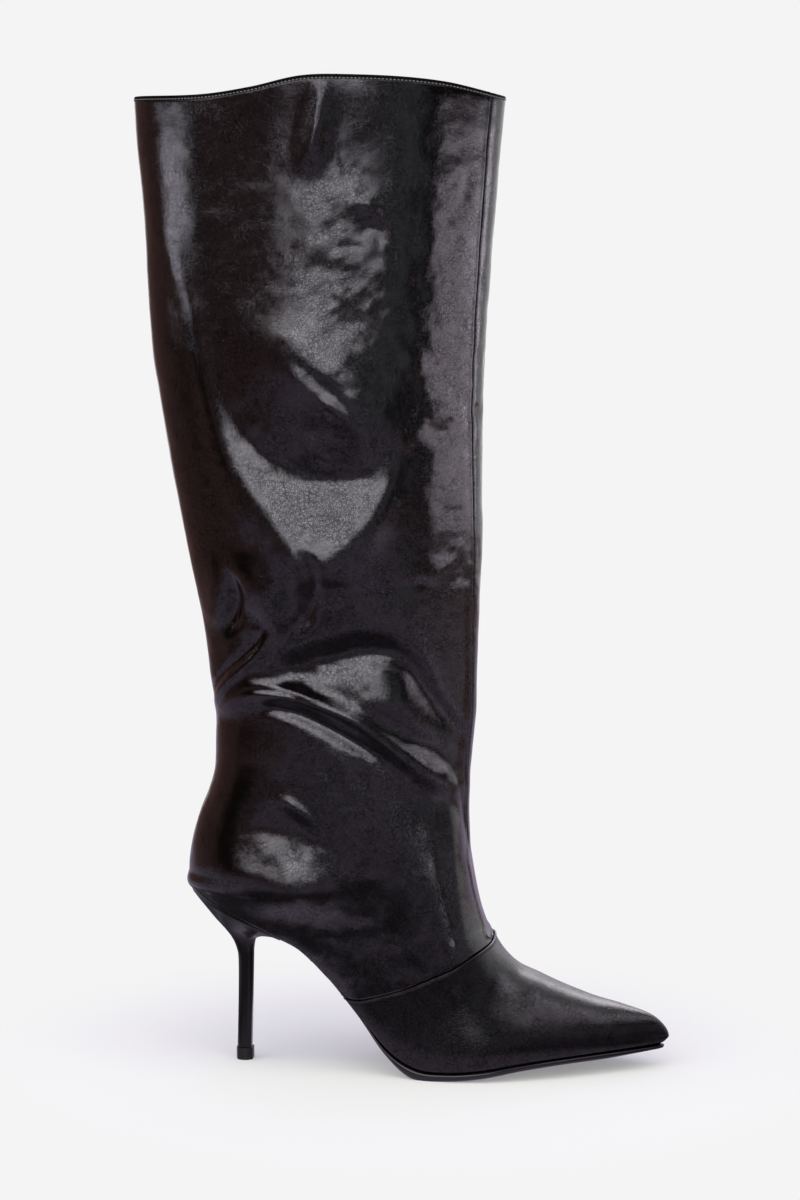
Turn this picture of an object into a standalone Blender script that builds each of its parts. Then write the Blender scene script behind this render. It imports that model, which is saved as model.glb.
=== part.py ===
"""A right-foot knee-high boot with a pointed toe and a stiletto heel, standing empty.

+X is toward the toe, +Y toward the inner side of the foot and +Z is up. The tables and the
functions that read them work in millimetres, with x = 0 at the heel's back on the feather line,
which is where the upper meets the sole. The origin of the finished boot lies on the floor, under
the middle of its box. The leg leans as an empty boot's does, and its slouch at the ankle is part
of the outline.
"""

from math import pi, radians

import bpy
import numpy as np

MM = 0.001

# Driving sizes, in millimetres.
FOOT_LENGTH = 229.3
BALL_WIDTH = 74.0
HEEL_HEIGHT = 85.6
INSTEP_HEIGHT = 64.2
LEG_HEIGHT = 465.0
LEG_DEPTH = 176.0
LEG_WIDTH = 86.0
WALL = 1.8
GAP = 0.3
SOLE_GAP = 0.6

# The leg's shape.
COLLAR_BACK = -24.4
COLLAR_RISE = 9.0
LEG_ROUNDNESS = 2.15
JOIN_SHARPNESS = 4.0
SHIN_ROUND = 8.0
THROAT_BLEND = 6.0

# The foot's shape. The throat is where the vamp's ridge meets the leg's front, as a share of
# the foot's length.
THROAT = 0.638
TOE_SWING = 5.0
SWING_START = 80.0
SWING_TOP = 96.3
TOE_OVERHANG = 2.8
OVERHANG_START = 180.0
OVERHANG_HEIGHT = 4.0
SIDE_BULGE = 0.06
SIDE_BULGE_HEIGHT = 10.0

# The sole, the heel and the insole.
INSOLE = 2.4
INSOLE_END = 0.97
SOLE_LIP = 0.5
BREAST = 47.4
LIFT_HEIGHT = 6.0
LIFT_BACK = 21.6
LIFT_FRONT = 29.8
LIFT_HALF_WIDTH = 4.5
LIFT_EDGE = 0.4
LIFT_EDGE_INSET = 0.3
STEM_ROUND = 0.4
CHAMFER_START = 0.7
CHAMFER_WIDTH = 0.4

# How finely the forms are cut. The crowding powers gather the rows toward the sole, where the
# form curves most.
SIDE_STEPS = 30
LEG_ROWS = 34
ROW_CROWDING = 1.5
FRONT_CROWDING = 0.9
LINE_STEPS = 200
SOLE_STEPS = 56
STEM_STEPS = 10
ANGLE_STEP = 0.001
SHARP_ANGLE = radians(34)


def table(columns, rows):
    """The rows as one named array for each column."""
    return dict(zip(columns.split(), np.array(rows).T))


# A row for each station along the foot. Station: share of FOOT_LENGTH. Feather: the feather
# line's height, as a share of HEEL_HEIGHT. Outer and inner: half widths there, as shares of
# BALL_WIDTH. Sole: the outsole's thickness in millimetres.
FOOT = table(
    "station feather outer inner sole",
    (
        (0.000, 1.000, 0.000, 0.000, 1.6),
        (0.018, 0.989, 0.138, 0.138, 1.6),
        (0.053, 0.952, 0.243, 0.243, 1.6),
        (0.113, 0.878, 0.324, 0.319, 1.6),
        (0.200, 0.778, 0.351, 0.330, 1.0),
        (0.253, 0.698, 0.345, 0.306, 1.0),
        (0.305, 0.545, 0.343, 0.282, 1.0),
        (0.366, 0.348, 0.359, 0.281, 1.2),
        (0.427, 0.152, 0.405, 0.324, 2.0),
        (0.488, 0.056, 0.462, 0.392, 4.6),
        (0.558, 0.044, 0.507, 0.451, 3.7),
        (0.628, 0.061, 0.519, 0.481, 3.4),
        (0.706, 0.091, 0.476, 0.462, 3.0),
        (0.794, 0.111, 0.386, 0.362, 2.8),
        (0.881, 0.120, 0.257, 0.222, 2.8),
        (0.942, 0.125, 0.154, 0.124, 2.2),
        (0.981, 0.128, 0.074, 0.062, 2.0),
        (1.000, 0.129, 0.000, 0.000, 2.0),
    ),
)

# The last's top line. Station: share of FOOT_LENGTH. Top: share of INSTEP_HEIGHT. Ahead of the
# throat it is the ridge of the vamp, and behind it the cone that fades out inside the leg.
LAST_TOP = table(
    "station top",
    (
        (0.000, 3.430),
        (0.200, 3.190),
        (0.366, 2.620),
        (0.488, 2.090),
        (0.567, 1.670),
        (0.606, 1.355),
        (THROAT, 1.000),
        (0.673, 0.818),
        (0.740, 0.680),
        (0.839, 0.534),
        (0.902, 0.470),
        (0.965, 0.389),
        (0.987, 0.325),
        (1.000, 0.226),
    ),
)

# A row for each section of the leg, by its height in millimetres above the floor. Back and
# front: where the outline lies. Width: share of LEG_WIDTH, fading out below the ankle, where
# the last's own sections take over.
LEG = table(
    "height back front width",
    (
        (40.0, 76.0, 180.0, 0.000),
        (64.2, 49.0, 146.4, 0.150),
        (73.0, 31.0, 142.5, 0.220),
        (85.6, 0.0, 139.2, 0.315),
        (95.0, -0.9, 137.5, 0.352),
        (104.0, 0.0, 136.1, 0.370),
        (114.0, 2.0, 135.6, 0.382),
        (124.0, 5.0, 135.2, 0.388),
        (134.0, 9.2, 135.0, 0.391),
        (144.0, 12.2, 135.6, 0.394),
        (158.0, 12.9, 136.9, 0.399),
        (172.0, 13.2, 138.3, 0.404),
        (190.0, 10.1, 138.7, 0.410),
        (210.0, 7.8, 139.2, 0.419),
        (248.0, 0.3, 140.9, 0.435),
        (282.0, -6.3, 141.0, 0.450),
        (320.0, -12.7, 141.2, 0.465),
        (344.0, -16.4, 142.1, 0.474),
        (368.0, -18.1, 143.5, 0.480),
        (415.0, -20.5, 147.1, 0.491),
        (448.0, -23.6, 149.8, 0.498),
        (465.0, -24.4, 151.6, 0.500),
    ),
)

# The collar's edge. Share: of its depth from the back. Rise: share of COLLAR_RISE.
COLLAR = table(
    "share rise",
    (
        (0.00, 0.00),
        (0.22, 0.05),
        (0.35, 0.40),
        (0.48, 0.94),
        (0.60, 1.00),
        (0.85, 0.67),
        (1.00, 0.00),
    ),
)

# A row for each section of the heel below its seat, in millimetres. Stem: how far the section
# has turned from the seat's outline into the stem's.
HEEL = table(
    "back back_height front front_height half_width stem",
    (
        (0.6, 84.0, 46.2, 64.6, 25.2, 0.00),
        (3.2, 80.6, 45.0, 64.3, 22.6, 0.05),
        (7.0, 75.8, 42.4, 63.9, 18.2, 0.20),
        (11.4, 70.4, 38.4, 63.1, 13.4, 0.45),
        (16.0, 65.2, 34.0, 62.0, 8.8, 0.75),
        (19.6, 60.4, 31.2, 59.8, 6.0, 0.92),
        (21.9, 55.0, 30.2, 55.4, 4.6, 1.00),
        (22.7, 49.0, 30.0, 49.0, 4.1, 1.00),
        (22.6, 30.0, 29.6, 30.0, 3.8, 1.00),
        (22.0, 6.3, 29.1, 6.3, 3.8, 1.00),
    ),
)

# The outsole's edge. Share: of its thickness, from its top down. Lip: how far it stands out
# past the feather line, as a share of SOLE_LIP.
SOLE_EDGE = table(
    "share lip",
    (
        (1.0, -0.8),
        (0.7, 0.8),
        (0.3, 1.0),
        (0.0, 0.6),
    ),
)


def smooth(at, places, values):
    """The curve through a table's rows, with the mean of the two chords as its slope at each."""
    at = np.clip(at, places[0], places[-1])
    chords = np.diff(values) / np.diff(places)
    slopes = np.concatenate([chords[:1], (chords[1:] + chords[:-1]) / 2, chords[-1:]])
    row = np.clip(np.searchsorted(places, at) - 1, 0, len(places) - 2)
    width = places[row + 1] - places[row]
    t = (at - places[row]) / width
    start = values[row] * (1 + 2 * t) + slopes[row] * width * t
    end = values[row + 1] * (3 - 2 * t) - slopes[row + 1] * width * (1 - t)
    return start * (1 - t) ** 2 + end * t**2


def ease(share):
    """0 below 0 and 1 above 1, with a soft step between them."""
    share = np.clip(share, 0, 1)
    return share**2 * (3 - 2 * share)


def turn(station):
    """A station as an angle from 0 at the heel's back to pi at the toe, so that both ends of
    every curve read over it are round."""
    return np.arccos(1 - 2 * np.clip(station, 0, 1))


def feather_height(x):
    """The feather line's height above the floor."""
    return HEEL_HEIGHT * smooth(x / FOOT_LENGTH, FOOT["station"], FOOT["feather"])


def foot_width(x, side):
    """Half the sole's width at x, on its outer or inner side."""
    return BALL_WIDTH * smooth(turn(x / FOOT_LENGTH), turn(FOOT["station"]), FOOT[side])


def last_top(x):
    """The height of the last's top line above the floor."""
    return INSTEP_HEIGHT * smooth(turn(x / FOOT_LENGTH), turn(LAST_TOP["station"]), LAST_TOP["top"])


def middle(x):
    """How far the foot's middle line has swung inward: the toe points to the big toe's side."""
    return TOE_SWING * ease((x - SWING_START) / (FOOT_LENGTH - SWING_START))


def overhang(x, above):
    """How far the toe reaches out over the sole at a height above the feather line."""
    share = ease((x - OVERHANG_START) / (FOOT_LENGTH - OVERHANG_START))
    return TOE_OVERHANG * share * ease(above / OVERHANG_HEIGHT)


def front_line():
    """The outline from the sole at the toe, over the nose and the vamp, up to the collar."""
    angles = np.linspace(pi, turn(THROAT), LINE_STEPS)
    vamp_x = FOOT_LENGTH * (1 - np.cos(angles)) / 2
    shin_z = np.linspace(INSTEP_HEIGHT, LEG_HEIGHT, LINE_STEPS)[1:]
    shin_x = smooth(shin_z, LEG["height"], LEG["front"])
    x = np.concatenate([[FOOT_LENGTH], vamp_x, shin_x])
    z = np.concatenate([[feather_height(FOOT_LENGTH)], last_top(vamp_x), shin_z])
    return x, z


def side_grid(rows, steps):
    """The side view as a patch between its four edges: the feather line below, the collar above,
    the back and the front. Row 0 is the feather line and column 0 the back."""
    share = (1 - np.cos(np.linspace(0, pi, steps + 1))) / 2
    height = np.linspace(0, 1, rows) ** ROW_CROWDING
    low = np.stack([FOOT_LENGTH * share, feather_height(FOOT_LENGTH * share)], -1)
    rise = COLLAR_RISE * smooth(share, COLLAR["share"], COLLAR["rise"])
    high = np.stack([COLLAR_BACK + LEG_DEPTH * share, LEG_HEIGHT + rise], -1)
    back_z = HEEL_HEIGHT + (LEG_HEIGHT - HEEL_HEIGHT) * height
    back = np.stack([smooth(back_z, LEG["height"], LEG["back"]), back_z], -1)
    line_x, line_z = front_line()
    run = np.concatenate([[0], np.cumsum(np.hypot(np.diff(line_x), np.diff(line_z)))])
    at = run[-1] * height**FRONT_CROWDING
    front = np.stack([np.interp(at, run, line_x), np.interp(at, run, line_z)], -1)
    s = share[None, :, None]
    v = height[:, None, None]
    sides = (1 - s) * back[:, None] + s * front[:, None]
    ends = (1 - v) * low[None] + v * high[None]
    corners = (1 - v) * ((1 - s) * low[0] + s * low[-1]) + v * ((1 - s) * high[0] + s * high[-1])
    patch = sides + ends - corners
    return patch[..., 0], patch[..., 1]


def half_width(x, z, side):
    """Half the boot's width at a place in the side view: the foot's own sections joined softly
    to the leg's."""
    line_x, line_z = front_line()
    front = np.interp(z, line_z[1:], line_x[1:])
    back = smooth(z, LEG["height"], LEG["back"])
    across = np.clip(2 * (x - back) / (front - back) - 1, -1, 1)
    oval = (1 - np.abs(across) ** LEG_ROUNDNESS) ** (1 / LEG_ROUNDNESS)
    leg = LEG_WIDTH * smooth(z, LEG["height"], LEG["width"]) * oval
    lean = np.where(z > HEEL_HEIGHT, back, 0) * (1 - ease(x / SWING_START))
    floor = feather_height(x)
    above = np.clip(z - floor, 0, None)
    full = np.clip(above / (last_top(x) - floor), 0, 1)
    bulge = above / SIDE_BULGE_HEIGHT * np.exp(1 - above / SIDE_BULGE_HEIGHT)
    foot_side = foot_width(x - lean, side) * np.sqrt(1 - full**2)
    foot_side = foot_side * (1 + SIDE_BULGE * bulge)
    nose = (1 - np.clip(across, 0, 1) ** SHIN_ROUND) ** (1 / SHIN_ROUND)
    foot_side = foot_side * (1 - ease((z - INSTEP_HEIGHT) / THROAT_BLEND) * (1 - nose))
    return (foot_side**JOIN_SHARPNESS + leg**JOIN_SHARPNESS) ** (1 / JOIN_SHARPNESS)


def ring(outer, inner):
    """One closed row of points from its two sides, each running from the back to the front."""
    return np.concatenate([outer, inner[..., -2:0:-1, :]], axis=-2)


def upper_rows():
    """Rings of the upper's outer face, from the feather line up to the collar."""
    x, z = side_grid(LEG_ROWS, SIDE_STEPS)
    above = z - feather_height(x)
    ends = np.ones(SIDE_STEPS + 1)
    ends[[0, -1]] = 0
    sides = []
    for side, sign in (("outer", -1), ("inner", 1)):
        y = middle(x) * ease((SWING_TOP - z) / INSTEP_HEIGHT)
        y = y + sign * ends * half_width(x, z, side)
        sides.append(np.stack([x + overhang(x, above), y, z], -1))
    return ring(*sides)


def material(name, colour, roughness):
    """A plain finish of one colour, which isn't metal."""
    shade = bpy.data.materials.new(name)
    shade.use_nodes = True
    principled = shade.node_tree.nodes["Principled BSDF"]
    principled.inputs["Base Color"].default_value = (*colour, 1)
    principled.inputs["Roughness"].default_value = roughness
    principled.inputs["Metallic"].default_value = 0
    return shade


def add(name, points, faces, shade):
    """A named object from points in millimetres, moved so that the origin is under the middle."""
    mesh = bpy.data.meshes.new(name)
    mesh.from_pydata((points * MM).tolist(), [], faces)
    mesh.shade_smooth()
    mesh.set_sharp_from_angle(angle=SHARP_ANGLE)
    mesh.materials.append(shade)
    made = bpy.data.objects.new(name, mesh)
    made.location.x = -MM * (COLLAR_BACK + FOOT_LENGTH + TOE_OVERHANG) / 2
    bpy.data.collections["stiletto_boot"].objects.link(made)
    return made


def band(rows, columns):
    """Four-sided faces between closed rows of points, each row above the last."""
    faces = []
    for row in range(rows - 1):
        for column in range(columns):
            beside = (column + 1) % columns
            low = row * columns
            high = low + columns
            faces.append((low + column, low + beside, high + beside, high + column))
    return faces


def lid(first, second):
    """Faces across a closed row, between its two sides. A shared end gives a triangle."""
    faces = []
    for step in range(len(first) - 1):
        corners = (first[step], first[step + 1], second[step + 1], second[step])
        faces.append(tuple(dict.fromkeys(corners)))
    return faces


def loft(name, rings, first, second, shade):
    """A closed solid through rings of points, the lowest first. First and second are the places
    of a ring's two sides, so that each lid runs straight across it."""
    columns = len(rings[0])
    top = (len(rings) - 1) * columns
    faces = band(len(rings), columns)
    faces += lid(second, first)
    faces += lid([top + place for place in first], [top + place for place in second])
    return add(name, np.concatenate(rings), faces, shade)


def outline(angle, side, sign, offset):
    """One side of the feather line from above, moved outward by an offset."""
    def place(at):
        x = FOOT_LENGTH * (1 - np.cos(at)) / 2
        return np.stack([x, middle(x) + sign * foot_width(x, side)], -1)

    run = place(np.clip(angle + ANGLE_STEP, 0, pi)) - place(np.clip(angle - ANGLE_STEP, 0, pi))
    run /= np.linalg.norm(run, axis=-1, keepdims=True)
    outward = np.stack([-sign * run[:, 1], sign * run[:, 0]], -1)
    return place(angle) + offset * outward


def bed(plan, depth):
    """Points at a depth below the feather line, square to it in the side view. Its slope is how
    much it rises over one millimetre."""
    x = plan[:, 0]
    slope = feather_height(x + 0.5) - feather_height(x - 0.5)
    length = np.hypot(slope, 1)
    z = feather_height(x) - depth / length
    return np.stack([x + slope * depth / length, plan[:, 1], z], -1)


def both_sides(angle, offset, depth):
    """The outer and the inner side of a layer of the sole."""
    return [
        bed(outline(angle, side, sign, offset), depth)
        for side, sign in (("outer", -1), ("inner", 1))
    ]


def tipped(tip, first, second):
    """A closed row of points from a tip along one side and back along the other."""
    return np.concatenate([tip, first, second[::-1]])


def tipped_places(steps):
    """The places of the two sides in such a row, each from the tip."""
    return list(range(steps + 1)), [0] + list(range(2 * steps, steps, -1))


def upper(shade):
    """The whole leather wall, open at the collar and underneath."""
    rows = upper_rows()
    made = add("upper", rows.reshape(-1, 3), band(*rows.shape[:2]), shade)
    wall = made.modifiers.new("Wall", "SOLIDIFY")
    wall.thickness = WALL * MM
    wall.offset = -1
    wall.use_even_offset = True
    return made


def insole(shade):
    """The board and sock, a loose fit inside the wall."""
    angle = np.linspace(0, INSOLE_END * pi, SOLE_STEPS + 1)
    rings = []
    for offset, depth in ((-(WALL + 3 * GAP), 0), (-(WALL + 4 * GAP), -INSOLE)):
        outer, inner = both_sides(angle, offset, depth)
        rings.append(tipped(outer[:1], outer[1:], inner[1:]))
    return loft("insole", rings, *tipped_places(SOLE_STEPS), shade)


def outsole(shade):
    """From the heel's breast to the toe, with a flat tread under the ball."""
    breast = turn(BREAST / FOOT_LENGTH)
    angle = np.linspace(pi, breast, SOLE_STEPS + 1)
    x = FOOT_LENGTH * (1 - np.cos(angle)) / 2
    thick = smooth(x / FOOT_LENGTH, FOOT["station"], FOOT["sole"])
    rings = []
    for share, lip in zip(*SOLE_EDGE.values()):
        outer, inner = both_sides(angle, lip * SOLE_LIP, SOLE_GAP + share * thick)
        for points in (outer, inner):
            points[:, 2] = np.maximum(points[:, 2], 0)
        rings.append(tipped(inner[:1], inner[1:], outer[1:]))
    return loft("outsole", rings, *tipped_places(SOLE_STEPS), shade)


def stem_side(share):
    """A stem's half width along its depth: round at the back, with a chamfer at each corner of
    its breast."""
    back = np.sqrt(1 - np.clip(1 - share / STEM_ROUND, 0, 1) ** 2)
    return back - CHAMFER_WIDTH * np.clip((share - CHAMFER_START) / (1 - CHAMFER_START), 0, 1)


def heel(shade):
    """A cup under the heel seat that draws in to a slim stem."""
    breast = turn((BREAST - GAP) / FOOT_LENGTH)
    angle = np.linspace(0, breast, STEM_STEPS + 1)
    seat_x = FOOT_LENGTH * (1 - np.cos(angle)) / 2
    share = seat_x / seat_x[-1]
    seat_side = foot_width(seat_x, "outer")
    seat_side = seat_side / seat_side.max()
    rings = []
    for back, back_z, front, front_z, half, stem in zip(*HEEL.values()):
        x = back + (front - back) * share
        z = back_z + (front_z - back_z) * share
        y = half * ((1 - stem) * seat_side + stem * stem_side(share))
        outer = np.stack([x, -y, z], -1)
        inner = np.stack([x, y, z], -1)
        rings.append(tipped(outer[:1], outer[1:], inner[1:]))
    outer, inner = both_sides(angle, 0, GAP)
    rings.insert(0, tipped(outer[:1], outer[1:], inner[1:]))
    return loft("heel", rings[::-1], *tipped_places(STEM_STEPS), shade)


def top_lift(shade):
    """The wear cap under the stem, flat on the floor."""
    share = 1 - np.cos(np.linspace(0, pi / 2, STEM_STEPS + 1))
    rings = []
    for height, inset in ((0, LIFT_EDGE_INSET), (LIFT_EDGE, 0), (LIFT_HEIGHT, 0)):
        x = LIFT_BACK + inset + (LIFT_FRONT - LIFT_BACK - 2 * inset) * share
        y = (LIFT_HALF_WIDTH - inset) * stem_side(share)
        outer = np.stack([x, -y, np.full_like(x, height)], -1)
        inner = outer * (1, -1, 1)
        rings.append(tipped(outer[:1], outer[1:], inner[1:]))
    return loft("top_lift", rings, *tipped_places(STEM_STEPS), shade)


for old in list(bpy.data.objects):
    bpy.data.objects.remove(old)
bpy.context.scene.collection.children.link(bpy.data.collections.new("stiletto_boot"))

leather = material("glossy_black_leather", (0.012, 0.010, 0.012), 0.28)
upper(leather)
insole(material("black_sock", (0.03, 0.028, 0.028), 0.7))
outsole(material("black_sole", (0.010, 0.010, 0.011), 0.45))
heel(material("lacquered_heel", (0.010, 0.009, 0.010), 0.22))
top_lift(material("rubber_lift", (0.02, 0.02, 0.02), 0.75))
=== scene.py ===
from math import cos, pi, radians, sin, tan

import bmesh
import bpy
import numpy as np
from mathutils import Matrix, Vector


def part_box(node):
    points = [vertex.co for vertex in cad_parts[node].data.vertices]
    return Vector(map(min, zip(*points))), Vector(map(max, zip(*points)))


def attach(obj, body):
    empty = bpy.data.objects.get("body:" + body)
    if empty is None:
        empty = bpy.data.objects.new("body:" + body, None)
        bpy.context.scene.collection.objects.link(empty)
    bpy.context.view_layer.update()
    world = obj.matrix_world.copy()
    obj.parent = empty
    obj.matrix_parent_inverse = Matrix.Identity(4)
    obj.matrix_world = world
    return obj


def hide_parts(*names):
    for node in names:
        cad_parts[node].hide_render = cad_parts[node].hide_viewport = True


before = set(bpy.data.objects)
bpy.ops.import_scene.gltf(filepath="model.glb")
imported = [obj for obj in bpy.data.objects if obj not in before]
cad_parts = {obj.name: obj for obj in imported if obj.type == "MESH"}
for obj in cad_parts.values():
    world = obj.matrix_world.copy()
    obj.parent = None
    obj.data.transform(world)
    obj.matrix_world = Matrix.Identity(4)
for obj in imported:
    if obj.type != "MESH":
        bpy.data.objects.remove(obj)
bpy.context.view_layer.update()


# The leg: an outer and an inner half of black leather with a glossy film, joined by a plain seam up
# the back and a lapped one that runs down just outside the shin to the vamp's throat. At the collar
# the leather is folded inside and stitched down, and at the foot it is lasted under the insole.
UPPER_LOW, UPPER_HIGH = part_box("upper")
# Its shape is worked out in millimetres, with x = 0 at the heel's back on the feather line, where the
# upper meets the sole. The frame says where that line's end lies.
MM = 0.001
COLLAR_BACK = -24.4
HEEL_BACK = UPPER_LOW.x / MM - COLLAR_BACK
TOE_OVERHANG = 2.8
FOOT_LENGTH = round(UPPER_HIGH.x / MM - HEEL_BACK - TOE_OVERHANG, 1)
LEG_WIDTH = (UPPER_HIGH.y - UPPER_LOW.y) / MM
LEG_HEIGHT = 465.0
COLLAR_RISE = 9.0
LEG_ROUNDNESS = 2.15
JOIN_SHARPNESS = 4.0
SHIN_ROUND = 8.0
THROAT_BLEND = 6.0
BALL_WIDTH = 74.0
HEEL_HEIGHT = 85.6
INSTEP_HEIGHT = 64.2
THROAT = 0.638
TOE_SWING = 5.0
SWING_START = 80.0
SWING_TOP = 96.3
OVERHANG_START = 180.0
OVERHANG_HEIGHT = 4.0
SIDE_BULGE = 0.06
FOOT_ROUNDNESS = 2.5
SIDE_BULGE_HEIGHT = 10.0
LINE_STEPS = 400


def table(columns, rows):
    """The rows as one named array for each column."""
    return dict(zip(columns.split(), np.array(rows).T))


# Station: share of FOOT_LENGTH. Feather: the feather line's height, as a share of HEEL_HEIGHT.
# Outer and inner: half widths there, as shares of BALL_WIDTH.
FOOT = table(
    "station feather outer inner",
    (
        (0.000, 1.000, 0.000, 0.000),
        (0.018, 0.989, 0.138, 0.138),
        (0.053, 0.952, 0.243, 0.243),
        (0.113, 0.878, 0.324, 0.319),
        (0.200, 0.778, 0.351, 0.330),
        (0.253, 0.698, 0.345, 0.306),
        (0.305, 0.545, 0.343, 0.282),
        (0.366, 0.348, 0.359, 0.281),
        (0.427, 0.152, 0.405, 0.324),
        (0.488, 0.056, 0.462, 0.392),
        (0.558, 0.044, 0.507, 0.451),
        (0.628, 0.061, 0.519, 0.481),
        (0.706, 0.091, 0.476, 0.462),
        (0.794, 0.111, 0.386, 0.362),
        (0.881, 0.120, 0.257, 0.222),
        (0.942, 0.125, 0.154, 0.124),
        (0.981, 0.128, 0.074, 0.062),
        (1.000, 0.129, 0.000, 0.000),
    ),
)

# The last's top line, as shares of FOOT_LENGTH and of INSTEP_HEIGHT.
LAST_TOP = table(
    "station top",
    (
        (0.000, 3.430),
        (0.200, 3.190),
        (0.366, 2.620),
        (0.488, 2.600),
        (0.567, 2.200),
        (0.606, 1.355),
        (THROAT, 1.000),
        (0.673, 0.818),
        (0.740, 0.680),
        (0.839, 0.534),
        (0.902, 0.470),
        (0.965, 0.389),
        (0.987, 0.325),
        (1.000, 0.226),
    ),
)

# A row for each section of the leg, by its height above the floor. Back and front: where the
# outline lies. Width: half width as a share of LEG_WIDTH, fading out below the ankle.
LEG = table(
    "height back front width",
    (
        (40.0, 76.0, 180.0, 0.000),
        (64.2, 49.0, 146.4, 0.150),
        (73.0, 31.0, 142.5, 0.220),
        (85.6, 0.0, 139.2, 0.315),
        (95.0, -0.9, 137.5, 0.352),
        (104.0, 0.0, 136.1, 0.370),
        (114.0, 2.0, 135.6, 0.382),
        (124.0, 5.0, 135.2, 0.388),
        (134.0, 9.2, 135.0, 0.391),
        (144.0, 12.2, 135.6, 0.394),
        (158.0, 12.9, 136.9, 0.399),
        (172.0, 13.2, 138.3, 0.404),
        (190.0, 10.1, 138.7, 0.410),
        (210.0, 7.8, 139.2, 0.419),
        (248.0, 0.3, 140.9, 0.435),
        (282.0, -6.3, 141.0, 0.450),
        (320.0, -12.7, 141.2, 0.465),
        (344.0, -16.4, 142.1, 0.474),
        (368.0, -18.1, 143.5, 0.480),
        (415.0, -20.5, 147.1, 0.491),
        (448.0, -23.6, 149.8, 0.498),
        (465.0, -24.4, 151.6, 0.500),
    ),
)

# The collar's edge. Share: of its depth from the back. Rise: share of COLLAR_RISE.
COLLAR = table(
    "share rise",
    (
        (0.00, 0.00),
        (0.22, 0.05),
        (0.35, 0.40),
        (0.48, 0.94),
        (0.60, 1.00),
        (0.85, 0.67),
        (1.00, 0.00),
    ),
)

# The vamp's top seam on either side, from the feather line up to the throat.
VAMP_SEAM = table(
    "x z",
    (
        (76.0, 39.4),
        (80.0, 38.3),
        (85.5, 38.3),
        (95.3, 41.0),
        (107.3, 45.2),
        (119.0, 50.8),
        (128.2, 55.4),
        (137.2, 60.8),
        (143.7, 63.6),
        (146.4, 64.2),
    ),
)


def smooth(at, places, values):
    """The curve through a table's rows, with the mean of the two chords as its slope at each."""
    at = np.clip(at, places[0], places[-1])
    chords = np.diff(values) / np.diff(places)
    slopes = np.concatenate([chords[:1], (chords[1:] + chords[:-1]) / 2, chords[-1:]])
    row = np.clip(np.searchsorted(places, at) - 1, 0, len(places) - 2)
    width = places[row + 1] - places[row]
    t = (at - places[row]) / width
    start = values[row] * (1 + 2 * t) + slopes[row] * width * t
    end = values[row + 1] * (3 - 2 * t) - slopes[row + 1] * width * (1 - t)
    return start * (1 - t) ** 2 + end * t**2


def ease(share):
    """0 below 0 and 1 above 1, with a soft step between them."""
    share = np.clip(share, 0, 1)
    return share**2 * (3 - 2 * share)


def turn(station):
    """A station as an angle from 0 at the heel's back to pi at the toe, so that both ends of
    every curve read over it are round."""
    return np.arccos(1 - 2 * np.clip(station, 0, 1))


def feather_height(x):
    """The feather line's height above the floor."""
    return HEEL_HEIGHT * smooth(x / FOOT_LENGTH, FOOT["station"], FOOT["feather"])


def foot_width(x, side):
    """Half the sole's width at x, on its outer or inner side."""
    return BALL_WIDTH * smooth(turn(x / FOOT_LENGTH), turn(FOOT["station"]), FOOT[side])


def last_top(x):
    """The height of the last's top line above the floor."""
    return INSTEP_HEIGHT * smooth(turn(x / FOOT_LENGTH), turn(LAST_TOP["station"]), LAST_TOP["top"])


def middle(x):
    """How far the foot's middle line has swung inward: the toe points to the big toe's side."""
    return TOE_SWING * ease((x - SWING_START) / (FOOT_LENGTH - SWING_START))


def overhang(x, above):
    """How far the toe reaches out over the sole at a height above the feather line."""
    share = ease((x - OVERHANG_START) / (FOOT_LENGTH - OVERHANG_START))
    return TOE_OVERHANG * share * ease(above / OVERHANG_HEIGHT)


def front_line():
    """The outline from the sole at the toe, over the nose and the vamp, up to the collar."""
    angles = np.linspace(pi, turn(THROAT), LINE_STEPS)
    vamp_x = FOOT_LENGTH * (1 - np.cos(angles)) / 2
    shin_z = np.linspace(INSTEP_HEIGHT, LEG_HEIGHT, LINE_STEPS)[1:]
    shin_x = smooth(shin_z, LEG["height"], LEG["front"])
    x = np.concatenate([[FOOT_LENGTH], vamp_x, shin_x])
    z = np.concatenate([[feather_height(FOOT_LENGTH)], last_top(vamp_x), shin_z])
    return x, z


def half_width(x, z, side):
    """Half the boot's width at a place in the side view: the foot's own sections joined softly
    to the leg's ovals."""
    line_x, line_z = front_line()
    front = np.interp(z, line_z[1:], line_x[1:])
    back = smooth(z, LEG["height"], LEG["back"])
    across = np.clip(2 * (x - back) / (front - back) - 1, -1, 1)
    oval = (1 - np.abs(across) ** LEG_ROUNDNESS) ** (1 / LEG_ROUNDNESS)
    leg = LEG_WIDTH * smooth(z, LEG["height"], LEG["width"]) * oval
    lean = np.where(z > HEEL_HEIGHT, back, 0) * (1 - ease(x / SWING_START))
    floor = feather_height(x)
    above = np.clip(z - floor, 0, None)
    full = np.clip(above / (last_top(x) - floor), 0, 1)
    bulge = above / SIDE_BULGE_HEIGHT * np.exp(1 - above / SIDE_BULGE_HEIGHT)
    foot_side = foot_width(x - lean, side) * (1 - full**FOOT_ROUNDNESS) ** (1 / FOOT_ROUNDNESS)
    foot_side = foot_side * (1 + SIDE_BULGE * bulge)
    nose = (1 - np.clip(across, 0, 1) ** SHIN_ROUND) ** (1 / SHIN_ROUND)
    foot_side = foot_side * (1 - ease((z - INSTEP_HEIGHT) / THROAT_BLEND) * (1 - nose))
    return (foot_side**JOIN_SHARPNESS + leg**JOIN_SHARPNESS) ** (1 / JOIN_SHARPNESS)


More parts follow.
